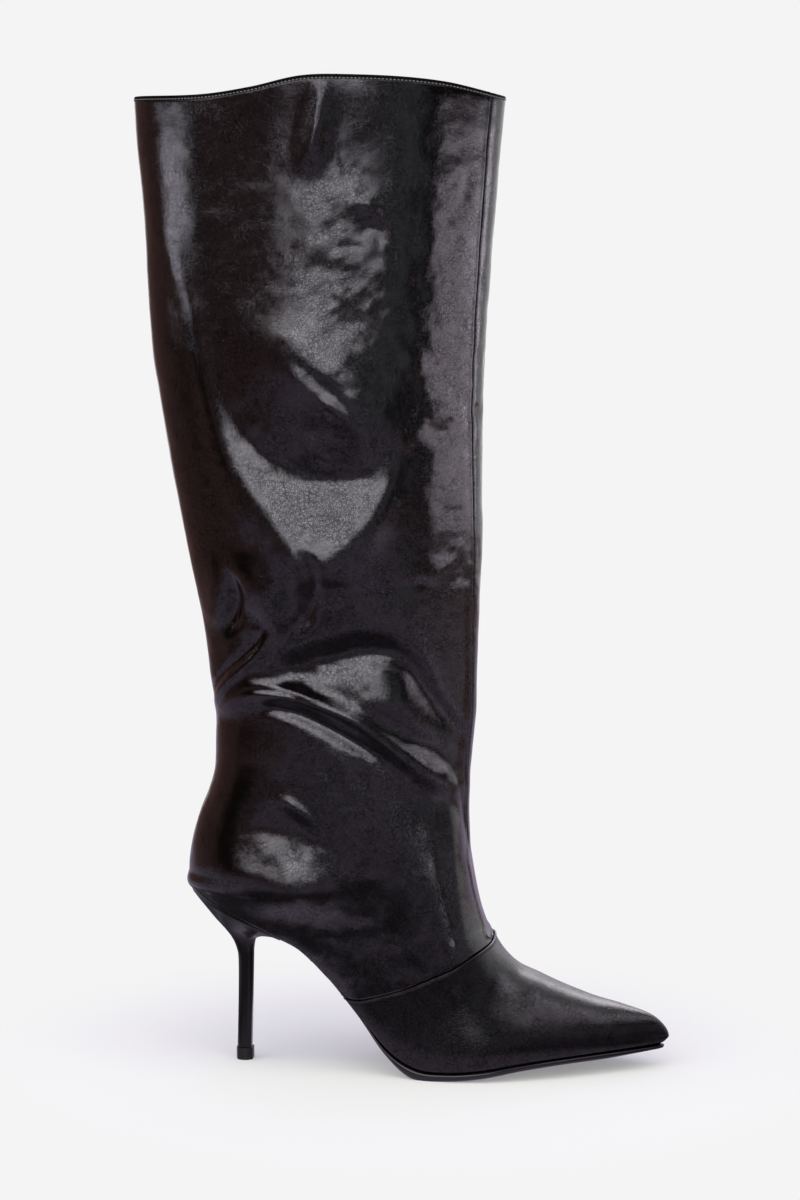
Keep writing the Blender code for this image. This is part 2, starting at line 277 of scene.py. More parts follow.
# The wall's thickness with its lining, the topline's radius, the facing's depth, and how far the leg
# runs on under the vamp. A half has so many rows and columns, closer together at its edges.
THICK = 1.8
EDGE_ROUND = 0.9
FACING = 12.0
UNDERLAP = 2.0
LEG_ROWS = 372
LEG_COLUMNS = 228
EDGE_SHARE = 0.013
EDGE_STEPS = 9

# How far the front seam lies outside the front ridge, as an angle of the leg's section.
FRONT_SEAM = table(
    "height angle",
    (
        (62.0, 0.10),
        (90.0, 0.13),
        (150.0, 0.19),
        (220.0, 0.26),
        (300.0, 0.31),
        (465.0, 0.35),
    ),
)


def on_side(x, z, side):
    """The point of the boot's outer face at a place in the side view, on its outer or inner side."""
    sign = -1 if side == "outer" else 1
    y = middle(x) * ease((SWING_TOP - z) / INSTEP_HEIGHT) + sign * half_width(x, z, side)
    return np.stack([x + overhang(x, z - feather_height(x)), y, z], -1)


def leg_view(share, height):
    """The leg's side view as a patch between its four edges. Share 0 is the back line and 1 the
    front; height 0 is the sole and the vamp's seam, and 1 the collar."""
    low_x = VAMP_SEAM["x"][-1] * share
    seam = smooth(low_x, VAMP_SEAM["x"], VAMP_SEAM["z"]) - UNDERLAP
    low_z = np.maximum(feather_height(low_x), seam)
    rise = COLLAR_RISE * smooth(share, COLLAR["share"], COLLAR["rise"])
    foot = VAMP_SEAM["z"][-1] - UNDERLAP
    collar = LEG_HEIGHT - EDGE_ROUND
    back_z = HEEL_HEIGHT + (collar - HEEL_HEIGHT) * height
    front_z = foot + (collar - foot) * height
    back_x = smooth(back_z, LEG["height"], LEG["back"])
    front_x = smooth(front_z, LEG["height"], LEG["front"])
    dip = low_z - (1 - share) * HEEL_HEIGHT - share * foot
    x = (1 - share) * back_x + share * front_x
    z = (1 - share) * back_z + share * front_z + (1 - height) * dip + height * rise
    return x, z


def leg_skin(angle, height):
    """The leg's outer face before its creases. The angle goes round the section, from 0 at the
    back over the outer side to pi at the shin, and over the inner side to 2 pi."""
    x, z = leg_view((1 - np.cos(angle)) / 2, height)
    outside = (np.sin(angle) > 0)[..., None]
    return np.where(outside, on_side(x, z, "outer"), on_side(x, z, "inner"))


def normals_of(skin, first, second):
    """Unit normals of a skin, from steps to either side of each place in both parameters."""
    step = 2e-3
    along = skin(first + step, second) - skin(first - step, second)
    up = skin(first, np.clip(second + step, 0, 1)) - skin(first, np.clip(second - step, 0, 1))
    normal = np.cross(along, up)
    return normal / np.linalg.norm(normal, axis=-1, keepdims=True)


# The random values of a field repeat after so many each way.
LATTICE = 64


def field(points, size, seed):
    """A smooth random field between -1 and 1: random values on a lattice of that size, with soft
    steps between them."""
    lattice = np.random.default_rng(seed).uniform(-1, 1, (LATTICE, LATTICE, LATTICE))
    cell = np.floor(points / size).astype(int)
    share = ease(points / size - cell)
    total = 0
    for corner in np.ndindex(2, 2, 2):
        near = (cell + corner) % LATTICE
        weight = np.where(np.array(corner) == 1, share, 1 - share).prod(-1)
        total = total + weight * lattice[near[..., 0], near[..., 1], near[..., 2]]
    return total


# Where the crushed leather is most wrinkled: x, z, reach across and up, and how many times the
# even crumple it is there.
CRUSHED = (
    (86, 374, 26, 46, 2.4),
    (92, 395, 16, 22, 1.2),
    (130, 350, 14, 90, 1.6),
    (130, 322, 14, 24, 4.2),
    (134, 415, 12, 22, 1.6),
    (65, 298, 40, 12, 2.6),
    (70, 322, 30, 18, 1.6),
    (84, 138, 18, 18, 2.2),
    (56, 106, 26, 18, 1.4),
    (70, 194, 28, 14, 1.6),
    (130, 248, 14, 16, 3.0),
    (34, 228, 22, 22, 0.8),
    (82, 70, 22, 26, 2.4),
    (130, 40, 30, 20, 2.0),
    (25, 200, 20, 24, 0.6),
)
# The crumple's sizes with their heights.
CRUMPLE = ((11.0, 0.13), (6.0, 0.06), (3.4, 0.03), (2.4, 0.013))


def crumple(points):
    """Fine uneven crumpling: random fields of falling size, stronger in the crushed places."""
    strength = 1.0
    for x, z, across, up, more in CRUSHED:
        gap = ((points[..., 0] - x) / across) ** 2 + ((points[..., 2] - z) / up) ** 2
        strength = strength + more * np.exp(-gap)
    height = 0
    for seed, (size, tall) in enumerate(CRUMPLE):
        height = height + tall * field(points, size, seed)
    return height * strength


# A fold's rounds lie so many to its least width, and each is felt as far out as so many widths.
ROUNDS_A_WIDTH = 2.5
FOLD_REACH = 2.8


def strokes(points, folds, side):
    """The height that folds give each point. A fold is a row of rounds laid close together along
    its route. Each falls off as e to minus the square of the distance in widths, and together they
    are as high as the fold is there; a negative height is a trough."""
    height = np.zeros(points.shape[:-1])
    for rows in folds:
        x, z, tall, wide = np.array(rows, float).T
        run = np.concatenate([[0], np.cumsum(np.hypot(np.diff(x), np.diff(z)))])
        step = wide.min() / ROUNDS_A_WIDTH
        at = np.arange(step / 2, run[-1], step)
        route = on_side(smooth(at, run, x), smooth(at, run, z), side)
        tall, wide = smooth(at, run, tall), smooth(at, run, wide)
        reach = FOLD_REACH * wide.max()
        near = ((points > route.min(0) - reach) & (points < route.max(0) + reach)).all(-1)
        gap = (points[near] ** 2).sum(-1)[:, None] + (route**2).sum(-1) - 2 * points[near] @ route.T
        height[near] += np.exp(-gap / wide**2) @ (tall * step / (wide * pi**0.5))
    return height


# Each fold is a route of (x, z, height, width): crests stand proud and troughs sink. From the collar
# down: the calf's bellies, the slouch that pinches in at the ankle, and the counter round the heel.
OUTER_FOLDS = (
    # the collar's flare, and a narrow fold that hangs from it with a pit beside its foot
    ((14, 480, 0, 28), (34, 480, 2.4, 28), (60, 480, 3.4, 28), (90, 480, 3.4, 28), (112, 480, 0, 28)),
    ((71, 478, 0, 5), (69, 462, 1.5, 5.5), (66.5, 448, 2.3, 5.5), (64, 438, 1.9, 5.5), (61, 428, 0, 6)),
    ((74, 446, 0, 4), (74, 436, -0.8, 4.5), (77, 424, -0.6, 5), (80, 414, 0, 5)),
    # a hollow under the collar, under a short arched fold
    ((80, 414, 0, 3), (85, 415, 0.3, 3.5), (93, 413, 0.45, 3.5), (100, 406, 0.4, 3), (104, 396, 0, 3)),
    ((80, 406, 0, 6), (89, 405, -0.8, 6.5), (97, 402, -0.7, 6), (101, 396, 0, 5)),
    # a dent and crinkles down the front
    ((138, 434, 0, 4), (135, 424, -0.8, 4), (131, 412, -0.8, 4), (128, 402, 0, 4)),
    ((108, 377, 0, 4), (116, 375, -0.5, 5), (124, 373, 0, 4)),
    ((118, 341, 0, 2.5), (128, 338, -0.2, 2.5), (139, 340, -0.2, 2.5)),
    ((120, 327, 0, 2.5), (129, 324, -0.22, 2.5), (140, 327, -0.2, 2.5)),
    ((116, 312, 0, 2.5), (126, 309, -0.22, 2.5), (139, 312, -0.2, 2.5)),
    # the upper belly's crest, with two short creases along it
    ((40, 362, 0, 14), (50, 350, 2.4, 17), (65, 338, 3.2, 17), (80, 326, 3.2, 16), (94, 312, 1.6, 12),
     (103, 300, 0, 8)),
    ((46, 343, 0, 3), (60, 331, 0.5, 3.2), (75, 319, 0.5, 3.2), (91, 308, 0, 3)),
    ((52, 346, 0, 3), (66, 335, -0.5, 3), (80, 322, -0.45, 3), (91, 312, 0, 3)),
    # the trough between the bellies
    ((20, 324, 0, 8), (33, 303, -1.3, 9), (44, 293, -1.8, 10), (60, 288, -1.9, 10), (80, 287, -1.8, 9),
     (95, 287, -0.8, 7), (104, 284, 0, 6)),
    # the lower belly's crest, which runs down from the back and sags in a point
    ((-14, 410, 0, 7), (-6, 396, 0.6, 7), (4, 372, 1.0, 7), (11, 342, 1.4, 7), (17, 318, 2.2, 7),
     (24, 298, 3.2, 9), (36, 274, 4.3, 13.5), (50, 256, 4.9, 14.5), (63, 243, 5.2, 14),
     (76, 251, 4.4, 14), (90, 266, 3.0, 11), (99, 284, 1.2, 7), (101, 300, 0, 5)),
    # the cushion of leather left of that point, with pits in it
    ((28, 250, 0, 9), (34, 241, 3.6, 11), (42, 232, 4.6, 11), (47, 222, 3.2, 10), (45, 212, 0, 7)),
    ((14, 250, 0, 5), (16, 238, 1.4, 6), (17, 224, 1.2, 6), (12, 212, 0, 5)),
    ((22, 244, 0, 3), (27, 233, -2.6, 4.2), (25, 221, -2.8, 4.2), (20, 212, 0, 3)),
    ((32, 224, 0, 3), (38, 219, -1.6, 4), (45, 213, 0, 3)),
    ((58, 256, 0, 3), (64, 244, -1.8, 4), (64, 232, -2.0, 4), (60, 221, -1.6, 4), (50, 210, 0, 4)),
    # a curved crease that falls into the notch at the back
    ((44, 214, 0, 2.5), (38, 205, 0.9, 2.6), (30, 197, 1.3, 2.6), (22, 190, 1.3, 2.4),
     (16, 182, 1.3, 2.4), (11, 172, 0.6, 2.4)),
    ((42, 217, 0, 2), (36, 209, -0.8, 2.2), (28, 201, -1.1, 2.2), (20, 194, -1.1, 2), (12, 184, 0, 2)),
    # a level crease from that cushion to the shin
    ((66, 237, 0, 2.5), (76, 236, -0.18, 2.4), (96, 236, -0.22, 2.4), (114, 237, -0.18, 2.4),
     (128, 238, 0, 2.4)),
    # the trough where the slouch turns in above the ankle
    ((40, 189, 0, 6), (50, 194, -2.2, 8), (60, 198, -3.2, 9), (76, 202, -3.8, 9.5),
     (90, 206, -3.6, 8.5), (101, 204, -2.6, 7), (110, 198, -2.0, 6), (116, 188, -2.0, 5.5),
     (123, 177, -1.8, 5), (131, 166, -1.2, 5), (137, 158, 0, 5)),
    ((84, 176, 0, 6), (92, 182, 1.2, 7), (101, 182, 1.4, 7), (109, 174, 1.2, 6), (118, 166, 0.6, 5),
     (127, 160, 0, 5)),
    # the main pinch: a long ridge from the back notch to the shin, with a slit along its crown
    ((12, 171, 0.5, 5), (20, 179, 1.0, 6), (30, 184, 1.2, 6.5), (42, 185.5, 1.8, 5.5),
     (56, 184, 2.6, 4.5), (70, 179, 2.6, 4.5), (83, 173, 2.4, 4.5), (96, 164, 2.3, 4.8),
     (108, 155, 2.6, 6), (119, 147, 3.2, 7.5), (129, 140, 2.8, 7.5), (139, 133, 0, 6)),
    ((27, 184, 0, 1.2), (36, 186.5, -0.5, 1.3), (50, 185.6, -0.6, 1.3), (62, 182.2, -0.4, 1.3),
     (72, 179.6, 0, 1.2)),
    # the trough under it
    ((36, 178, 0, 3), (48, 178, -1.6, 3.4), (62, 174, -2.0, 3.6), (76, 167, -1.8, 3.6),
     (90, 159, -1.0, 3.6), (102, 151, 0, 4)),
    # the counter round the heel
    ((14, 98, 0, 10), (28, 95, 3.2, 13), (42, 92, 5.4, 14), (58, 90, 5.6, 14), (72, 86, 2.8, 13),
     (88, 78, 0, 12)),
    ((30, 74, 0, 13), (46, 70, 2.6, 15), (64, 64, 3.6, 16), (84, 58, 2.8, 16), (102, 52, 0, 14)),
    ((30, 122, 0, 8), (42, 122, -1.1, 8), (56, 118, -1.2, 8), (70, 112, 0, 8)),
    ((42, 136, 0, 3), (50, 133.5, 0.6, 3), (58, 128.5, 0.7, 3), (67, 121, 0, 3)),
)


# The inner side has the same slouch with fewer and softer folds.
INNER_FOLDS = (
    ((14, 480, 0, 28), (34, 480, 2.4, 28), (60, 480, 3.4, 28), (90, 480, 3.4, 28), (112, 480, 0, 28)),
    ((56, 452, 0, 7), (60, 436, -0.9, 8), (58, 418, -0.9, 8), (52, 402, 0, 7)),
    ((40, 356, 0, 16), (60, 340, 1.9, 18), (84, 326, 1.9, 18), (104, 314, 0, 14)),
    ((30, 312, 0, 10), (52, 300, -1.8, 11), (80, 298, -1.8, 11), (106, 302, 0, 9)),
    ((28, 290, 0, 12), (48, 272, 3.0, 15), (70, 258, 3.6, 15), (92, 268, 2.0, 12), (108, 286, 0, 8)),
    ((30, 236, 0, 9), (42, 228, 2.0, 10), (50, 216, 0, 8)),
    ((34, 222, 0, 4), (42, 216, -1.2, 4.5), (52, 208, 0, 4)),
    ((38, 192, 0, 8), (56, 200, -2.6, 10), (78, 206, -3.0, 10), (98, 202, -2.0, 9), (116, 188, 0, 8)),
    ((22, 180, 0, 6), (36, 184, 1.6, 6), (58, 182, 2.3, 6), (80, 174, 2.1, 6), (100, 162, 1.5, 6),
     (118, 150, 0, 6)),
    ((40, 176, 0, 4), (60, 171, -1.4, 5), (82, 162, -1.2, 5), (100, 152, 0, 5)),
    ((16, 98, 0, 10), (30, 94, 2.2, 13), (46, 90, 3.4, 14), (62, 88, 3.0, 14), (80, 82, 0, 12)),
)


def creases(points):
    """All the folds and the crumple at each point. Both sides' folds are laid on both halves, so
    that they meet at the seams."""
    folds = strokes(points, OUTER_FOLDS, "outer") + strokes(points, INNER_FOLDS, "inner")
    return folds + crumple(points)


def crowded(steps):
    """Shares from 0 to 1 with closer steps near both ends, where the edges are rolled."""
    end = np.linspace(0, EDGE_SHARE, EDGE_STEPS)
    inner = np.linspace(EDGE_SHARE, 1 - EDGE_SHARE, steps)[1:-1]
    return np.concatenate([end, inner, 1 - end[::-1]])


def bell(distance, middle, width):
    """A soft bump: 1 at its middle, and e to minus the square of how many widths away elsewhere."""
    return np.exp(-(((distance - middle) / width) ** 2))


def runs(points, axis):
    """How far each point of a grid lies from the first and from the last of its line."""
    step = np.linalg.norm(np.diff(points, axis=axis), axis=-1)
    run = np.insert(np.cumsum(step, axis=axis), 0, 0, axis=axis)
    return run, np.take(run, [-1], axis=axis) - run


def ridges(distance, rows):
    """The height that ridges and grooves beside an edge give each point, at its distance from it.
    A row is a ridge's height, how far in it lies and its width; a negative height is a groove."""
    return sum(tall * bell(distance, place, width) for tall, place, width in rows)


def mesh_of(name, points, faces, shade):
    """A named mesh from points in millimetres and faces of four corners."""
    mesh = bpy.data.meshes.new(name)
    mesh.vertices.add(len(points))
    mesh.vertices.foreach_set("co", ((points + (HEEL_BACK, 0, 0)) * MM).ravel())
    mesh.loops.add(faces.size)
    mesh.loops.foreach_set("vertex_index", faces.ravel())
    mesh.polygons.add(len(faces))
    mesh.polygons.foreach_set("loop_start", np.arange(0, faces.size, 4))
    mesh.polygons.foreach_set("use_smooth", np.ones(len(faces), bool))
    mesh.update()
    mesh.materials.append(shade)
    made = bpy.data.objects.new(name, mesh)
    bpy.context.scene.collection.objects.link(made)
    return made


def sheet_of(name, points, shade):
    """A mesh from a grid of points, with a face between each four of them. Rows run upward and
    columns from left to right, seen from outside."""
    rows, columns = points.shape[:2]
    place = np.arange(rows * columns).reshape(rows, columns)
    corners = [place[:-1, :-1], place[:-1, 1:], place[1:, 1:], place[1:, :-1]]
    return mesh_of(name, points.reshape(-1, 3), np.stack(corners, -1).reshape(-1, 4), shade)


def mark_ink_and_seam_shade(piece, ink_and_seam_shade):
    """Keeps how far each point of a piece is covered by the ink of its cut edges; along the vamp's seam
    that ink is painted shade, a matte black strip standing for the shade in the groove.
    """
    edge_ink_and_seam_shade = piece.data.attributes.new("edge_ink_and_seam_shade", "FLOAT", "POINT")
    edge_ink_and_seam_shade.data.foreach_set("value", ink_and_seam_shade.ravel())


# The ridges and grooves beside each edge of a half, and the ink along its topline.
BACK_SEAM = ((0.12, 1.1, 0.8), (-0.8, 0, 0.4))
LAPPED_EDGE = ((0.35, 1.4, 0.9), (-1.5, 0, 0.55))
TUCKED_EDGE = ((-1.0, 0, 0.9),)
LASTED_EDGE = ((-1.1, 0, 0.8),)
STITCH_DROP = 0.7
STITCH_GROOVE = ((-0.22, STITCH_DROP, 0.45),)
TOP_INK = 0.85
TOP_INK_WIDTH = 1.1
TOP_INK_FADE = 0.5
FOLD_STEPS = 7
FACING_STEPS = 5


def leg_half(name, first, last, rolled, shade):
    """A half of the leg between two angles at each height. Its shin edge is rolled over the other
    half's, or tucked under it; its back edge is seamed, its foot lasted under and its top folded
    inside round a small radius."""
    share, height = np.meshgrid(crowded(LEG_COLUMNS), crowded(LEG_ROWS))
    angle = first(height) * (1 - share) + last(height) * share
    points = leg_skin(angle, height)
    normals = normals_of(leg_skin, angle, height)
    from_first, from_last = runs(points, 1)
    back, shin = (from_first, from_last) if rolled else (from_last, from_first)
    from_foot, from_top = runs(points, 0)
    relief = creases(points) + ridges(back, BACK_SEAM)
    relief += ridges(shin, LAPPED_EDGE if rolled else TUCKED_EDGE)
    relief += ridges(from_foot, LASTED_EDGE) + ridges(from_top, STITCH_GROOVE)
    points = points + normals * relief[..., None]
    out = normals[-1] - normals[-1] * (0, 0, 1)
    rise = np.cross(normals[-1], np.gradient(points[-1], axis=0))
    rise /= np.linalg.norm(rise, axis=-1, keepdims=True)
    bend = np.linspace(0, pi, FOLD_STEPS)[1:, None, None]
    fold = points[-1] + EDGE_ROUND * (out * (np.cos(bend) - 1) + rise * np.sin(bend))
    depth = np.linspace(0, FACING, FACING_STEPS)[1:, None, None]
    facing = fold[-1] - rise * depth
    made = sheet_of(name, np.concatenate([points, fold, facing]), shade)
    top_ink = TOP_INK * (1 - ease((from_top - TOP_INK_WIDTH) / TOP_INK_FADE))
    mark_ink_and_seam_shade(made, np.concatenate([top_ink, TOP_INK + 0 * fold[..., 0], 0 * facing[..., 0]]))
    return made


def shin_angle(height):
    """The angle of the front seam at a share of the leg's height."""
    z = INSTEP_HEIGHT + (LEG_HEIGHT - INSTEP_HEIGHT) * height
    return pi - smooth(z, FRONT_SEAM["height"], FRONT_SEAM["angle"])


def put(nodes, links, kind, sources=(), **values):
    """A node of that kind, with its sockets joined to sources or set to values."""
    node = nodes.new(kind)
    for name, value in values.items():
        setattr(node, name, value)
    for socket, source in sources:
        if hasattr(source, "links"):
            links.new(source, node.inputs[socket])
        else:
            node.inputs[socket].default_value = source
    return node


def new_material(name):
    """A new material, with its nodes, its links and its shader."""
    made = bpy.data.materials.new(name)
    made.use_nodes = True
    nodes, links = made.node_tree.nodes, made.node_tree.links
    return made, nodes, links, nodes["Principled BSDF"]


def sum_of(nodes, links, kind, first, second=0.0):
    """The outcome of one sum on two numbers, which may each be a socket."""
    return put(nodes, links, "ShaderNodeMath", ((0, first), (1, second)), operation=kind).outputs[0]


def soft_step(nodes, links, value, start, end):
    """Goes softly from 0 at start to 1 at end."""
    ramp = put(nodes, links, "ShaderNodeMapRange", (("Value", value),), interpolation_type="SMOOTHSTEP")
    ramp.inputs["From Min"].default_value = min(start, end)
    ramp.inputs["From Max"].default_value = max(start, end)
    ramp.inputs["To Min"].default_value = float(start > end)
    ramp.inputs["To Max"].default_value = float(start < end)
    return ramp.outputs["Result"]


def noise(nodes, links, place, scale, detail, roughness=0.5):
    """The outputs of a cloudy noise at a place, with so many clouds in a metre."""
    sources = (("Vector", place), ("Scale", scale), ("Detail", detail), ("Roughness", roughness))
    return put(nodes, links, "ShaderNodeTexNoise", sources).outputs


def blend(nodes, links, share, first, second):
    """Two colours mixed by a share; each is three parts or a socket."""
    mix = put(nodes, links, "ShaderNodeMix", (("Factor", share),), data_type="RGBA")
    for socket, colour in (("A", first), ("B", second)):
        if isinstance(colour, tuple):
            mix.inputs[socket].default_value = (*colour, 1)
        else:
            links.new(colour, mix.inputs[socket])
    return mix.outputs["Result"]


# The leather is nearly black where it faces the dark, and its film shines wherever it faces something
# light. The sizes of its grain in millimetres, and how wide the gaps in it are as shares of them.
PEBBLE = 0.8
CRACK = 2.4
WRINKLE = 6.5
PEBBLE_GAP = 0.35
CRACK_GAP = 0.13
WRINKLE_GAP = 0.035
# Slow clouds turn the colour warm, and others leave only patches of the leather cracked.
TONE_CLOUD = 45.0
CRACKED_CLOUD = 9.0
CRACKED = (0.35, 0.62)
# How the film's shine depends on the pebbles, the cracks and slow clouds: a share of each, and what
# is left without it.
PEBBLE_SHINE = (0.62, 0.48)
CRACK_SHINE = (0.6, 0.5)
CLOUD_SHINE = (0.7, 0.65)
SHINE_CLOUD = 5.0
MEAN_SHINE = 0.8
# How much rougher the ink makes the film. Along the vamp's seam this paints the groove's shade matte.
INK_AND_SEAM_SHADE_DULL = 0.6
BLACK = (0.0006, 0.0006, 0.0007)
WARM_BLACK = (0.0016, 0.001, 0.001)


def leather(name, roughness, film_level, depths):
    """Glossy leather: pebbles of grain, a net of fine cracks between them and long wandering
    wrinkles, each as deep as given, and a slow noise that moves the colour from black to warm."""
    shade, nodes, links, film = new_material(name)

    def sums(kind, first, second=0.0):
        """One sum in the leather's nodes."""
        return sum_of(nodes, links, kind, first, second)

    def cloud(size, detail, place):
        """A noise with clouds of that size."""
        return noise(nodes, links, place, 1 / (size * MM), detail, 0.6)

    def step(value, start, end):
        """A soft step in the leather's nodes."""
        return soft_step(nodes, links, value, start, end)

    def bent(place, size, reach):
        """A place moved about by a cloudy noise, so that a pattern laid on it wanders."""
        sway = cloud(size, 2.0, place)["Color"]
        sources = ((0, sway), (1, (0.5, 0.5, 0.5)))
        sway = put(nodes, links, "ShaderNodeVectorMath", sources, operation="SUBTRACT")
        moved = put(nodes, links, "ShaderNodeVectorMath", ((0, sway.outputs[0]),), operation="SCALE")
        moved.inputs["Scale"].default_value = reach * MM
        return put(nodes, links, "ShaderNodeVectorMath", ((0, place), (1, moved.outputs[0]))).outputs[0]

    def net(place, size, gap):
        """Cells of that size: 1 inside them, and softly 0 along the gaps between them."""
        sources = (("Vector", place), ("Scale", 1 / (size * MM)))
        cells = put(nodes, links, "ShaderNodeTexVoronoi", sources, feature="DISTANCE_TO_EDGE")
        return step(cells.outputs["Distance"], 0.0, gap)

    def shine(share, amounts):
        """A share times the first amount, and the second amount besides."""
        return sums("ADD", sums("MULTIPLY", share, amounts[0]), amounts[1])

    place = put(nodes, links, "ShaderNodeTexCoord").outputs["Object"]
    tone = blend(nodes, links, cloud(TONE_CLOUD, 3.0, place)["Fac"], BLACK, WARM_BLACK)
    links.new(tone, film.inputs["Base Color"])
    patches = step(cloud(CRACKED_CLOUD, 2.0, place)["Fac"], *CRACKED)
    cracks = net(bent(place, 2 * CRACK, 1.6 * CRACK), CRACK, CRACK_GAP)
    pebbles = net(bent(place, PEBBLE, 0.7 * PEBBLE), PEBBLE, PEBBLE_GAP)
    lines = cloud(WRINKLE, 4.0, bent(place, 3 * WRINKLE, 1.5 * WRINKLE))["Fac"]
    lines = step(sums("ABSOLUTE", sums("SUBTRACT", lines, 0.5)), 0.0, WRINKLE_GAP)
    height = sums("MULTIPLY", sums("MULTIPLY", cracks, patches), depths[1] * MM)
    height = sums("ADD", height, sums("MULTIPLY", pebbles, depths[0] * MM))
    height = sums("ADD", height, sums("MULTIPLY", lines, depths[2] * MM))
    sources = (("Height", height), ("Strength", 1.0), ("Distance", 1.0))
    bump = put(nodes, links, "ShaderNodeBump", sources)
    links.new(bump.outputs["Normal"], film.inputs["Normal"])
    # The film is a little thinner in the grain's gaps and in clouds, and gone where an edge has ink: on
    # the topline, and along the vamp's seam, where the ink is painted shade for the groove.
    opened = sums("MULTIPLY", sums("SUBTRACT", 1.0, cracks), patches)
    gloss = shine(pebbles, PEBBLE_SHINE)
    gloss = sums("MULTIPLY", gloss, shine(sums("SUBTRACT", 1.0, opened), CRACK_SHINE))
    gloss = sums("MULTIPLY", gloss, shine(cloud(SHINE_CLOUD, 3.0, place)["Fac"], CLOUD_SHINE))
    ink_and_seam_shade = put(nodes, links, "ShaderNodeAttribute", attribute_name="edge_ink_and_seam_shade").outputs["Fac"]
    gloss = sums("MULTIPLY", gloss, sums("SUBTRACT", 1.0, ink_and_seam_shade))
    film.inputs["Specular IOR Level"].default_value = MEAN_SHINE * film_level
    links.new(sums("MULTIPLY", gloss, film_level), film.inputs["Specular IOR Level"])
    film.inputs["Roughness"].default_value = roughness
    links.new(shine(ink_and_seam_shade, (INK_AND_SEAM_SHADE_DULL, roughness)), film.inputs["Roughness"])
    return shade


black_leather = leather("glossy_black_leather", 0.13, 0.74, (0.013, 0.011, 0.004))
outer_leg = leg_half("leg_outer", lambda height: 0 * height, shin_angle, True, black_leather)
inner_leg = leg_half("leg_inner", shin_angle, lambda height: 2 * pi + 0 * height, False, black_leather)
for piece in (outer_leg, inner_leg):
    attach(piece, "root")
    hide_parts("upper")


# The topline's stitching: waxed dark grey thread that holds the folded edge down, in one row of
# short lockstitches all round the collar. Each stitch lies in a shallow groove.
STITCH_PITCH = 1.8
STITCH_LENGTH = 1.2
THREAD_RADIUS = 0.28
THREAD_PROUD = 0.05
THREAD_SIDES = 6
STITCH_RINGS = 7
RUN_STEPS = 4000
THREAD_TWIST = 4000.0
THREAD_GREYS = ((0.07, 0.067, 0.072), (0.16, 0.155, 0.16))


def stitch_rings():
    """One stitch as rings of points round its length: share of its half length, and of its radius."""
    shares = np.sin(np.linspace(-pi / 2, pi / 2, STITCH_RINGS))
    return shares, np.sqrt(np.clip(1 - shares**4, 0, 1))


def collar_run(angle):
    """The line under the collar that the stitches follow, and the way outward from the leather."""
    height = 1 - STITCH_DROP / (LEG_HEIGHT - HEEL_HEIGHT) + 0 * angle
    line = leg_skin(angle, height)
    outward = normals_of(leg_skin, angle, height)
    return line + outward * (creases(line) + THREAD_PROUD)[:, None], outward


angle = np.linspace(0, 2 * pi, RUN_STEPS)
line, outward = collar_run(angle)
run = np.insert(np.cumsum(np.linalg.norm(np.diff(line, axis=0), axis=1)), 0, 0)
count = round(run[-1] / STITCH_PITCH)
at = np.interp((np.arange(count) + 0.5) * run[-1] / count, run, angle)
step = 1e-3
ahead = collar_run(at + step)[0] - collar_run(at - step)[0]
ahead /= np.linalg.norm(ahead, axis=1, keepdims=True)
middles, outward = collar_run(at)
sideways = np.cross(outward, ahead)
length, radius = stitch_rings()
turned = np.linspace(0, 2 * pi, THREAD_SIDES, endpoint=False)
ring = THREAD_RADIUS * radius[:, None, None] * (
    np.cos(turned)[None, :, None] * outward[:, None, None, :]
    + np.sin(turned)[None, :, None] * sideways[:, None, None, :]
)
core = middles[:, None, None, :] + STITCH_LENGTH / 2 * length[:, None, None] * ahead[:, None, None, :]
points = (core + ring).reshape(-1, 3)
first = np.arange(len(length) - 1)[:, None] * THREAD_SIDES
here = first + np.arange(THREAD_SIDES)
beside = first + (np.arange(THREAD_SIDES) + 1) % THREAD_SIDES
one = np.stack([here, here + THREAD_SIDES, beside + THREAD_SIDES, beside], -1).reshape(-1, 4)
faces = (one + (np.arange(count) * len(length) * THREAD_SIDES)[:, None, None]).reshape(-1, 4)


def thread_finish():
    """Waxed thread: a fine noise of twist lines moves its grey across each stitch."""
    shade, nodes, links, twist = new_material("waxed_thread")
    place = put(nodes, links, "ShaderNodeTexCoord").outputs["Object"]
    fuzz = noise(nodes, links, place, THREAD_TWIST, 2.0)["Fac"]
    links.new(blend(nodes, links, fuzz, *THREAD_GREYS), twist.inputs["Base Color"])
    twist.inputs["Roughness"].default_value = 0.45
    twist.inputs["Specular IOR Level"].default_value = 0.8
    return shade


stitches = mesh_of("collar_stitches", points, faces, thread_finish())
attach(stitches, "root")
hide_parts("upper")


# The vamp: one piece of the same leather over the toes, lasted under all round the sole. Its top edge
# is folded in and lies over the leg's foot edge, which it is glued to.
VAMP_ROWS = 150
VAMP_COLUMNS = 380
VAMP_RISE = 0.5
VAMP_FADE = 24.0
VAMP_CRUMPLE = 0.4
# A strip of ink along the top edge, painted matte black as the shade in the seam's groove: its width and
# how softly it ends.
SEAM_SHADE_INK = 1.0
SEAM_SHADE_INK_FADE = 0.25
EDGE_BEAD = ((0.8, SEAM_SHADE_INK + 0.6, 0.5),)
EDGE_RISE = 0.1
EDGE_GROOVE = ((-0.5, 0, 0.3),)


